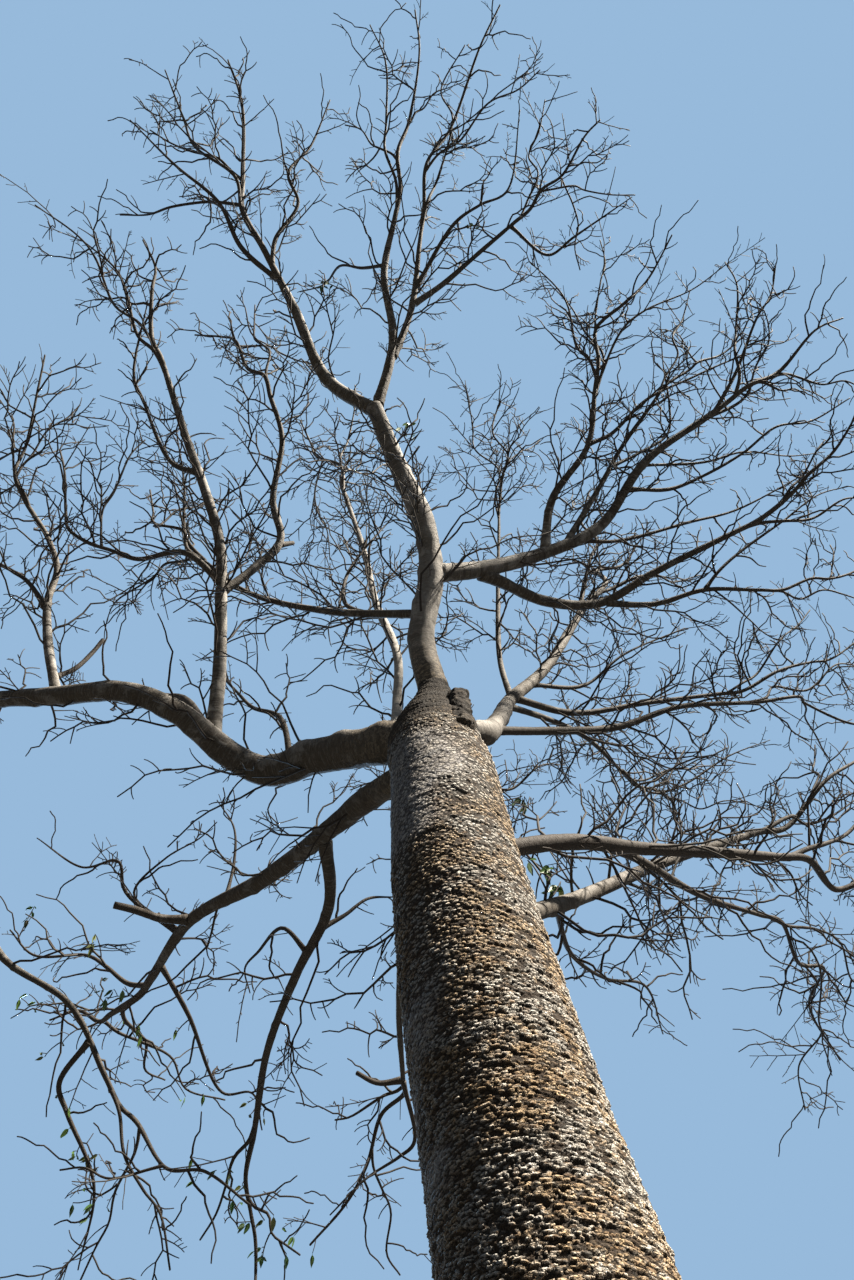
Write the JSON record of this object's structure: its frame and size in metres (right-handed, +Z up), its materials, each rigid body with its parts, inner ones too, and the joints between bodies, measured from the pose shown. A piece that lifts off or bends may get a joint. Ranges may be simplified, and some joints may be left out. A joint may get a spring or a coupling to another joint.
{
  "type": "bare winter tree",
  "caption": "Whole bare deciduous tree with a thick scaly leaning trunk, spreading curved boughs and open masses of fine leafless twigs.",
  "frame": {"origin": "middle of the flat cut under the trunk, at ground level", "axes": "+Z up; the trunk leans towards -X; the side that the picture was taken from faces -Y"},
  "size_m": [14.048, 13.4592, 17.905],
  "materials": {
    "trunk_bark": "rough, flaky bark plates with pale lichen",
    "bough_bark": "smooth grey bark with fine cross wrinkles",
    "twig_bark": "dull dark twigs"
  },
  "bodies": {
    "root": {"trunk": "trunk_bark", "leader_bough": "bough_bark", "top_left_bough": "bough_bark", "top_middle_bough": "bough_bark", "top_right_bough": "bough_bark", "top_right_side_bough": "bough_bark", "right_bough": "bough_bark", "right_riser_bough": "bough_bark", "right_inner_bough": "bough_bark", "right_low_bough": "bough_bark", "right_low_side_bough": "bough_bark", "east_bough": "bough_bark", "east_low_bough": "bough_bark", "east_middle_bough": "bough_bark", "east_rear_bough": "bough_bark", "east_riser_bough": "bough_bark", "low_right_bough": "bough_bark", "low_right_rear_bough": "bough_bark", "low_right_pale_bough": "bough_bark", "left_bough": "bough_bark", "left_riser_bough": "bough_bark", "left_riser_inner_bough": "bough_bark", "left_riser_side_bough": "bough_bark", "far_left_bough": "bough_bark", "low_left_bough": "bough_bark", "low_left_rear_bough": "bough_bark", "outer_left_bough": "bough_bark", "rear_left_bough": "bough_bark", "rear_bough": "bough_bark", "inner_bough": "bough_bark", "inner_left_bough": "bough_bark", "top_left_twigs": "twig_bark", "top_middle_twigs": "twig_bark", "top_right_twigs": "twig_bark", "top_right_side_twigs": "twig_bark", "right_twigs": "twig_bark", "right_riser_twigs": "twig_bark", "right_inner_twigs": "twig_bark", "right_low_twigs": "twig_bark", "right_low_side_twigs": "twig_bark", "east_twigs": "twig_bark", "east_low_twigs": "twig_bark", "east_middle_twigs": "twig_bark", "east_rear_twigs": "twig_bark", "east_riser_twigs": "twig_bark", "low_right_twigs": "twig_bark", "low_right_rear_twigs": "twig_bark", "low_right_pale_twigs": "twig_bark", "left_twigs": "twig_bark", "left_riser_twigs": "twig_bark", "left_riser_inner_twigs": "twig_bark", "left_riser_side_twigs": "twig_bark", "far_left_twigs": "twig_bark", "low_left_twigs": "twig_bark", "low_left_rear_twigs": "twig_bark", "outer_left_twigs": "twig_bark", "rear_left_twigs": "twig_bark", "rear_twigs": "twig_bark", "inner_twigs": "twig_bark", "inner_left_twigs": "twig_bark"}
  },
  "joints": []
}
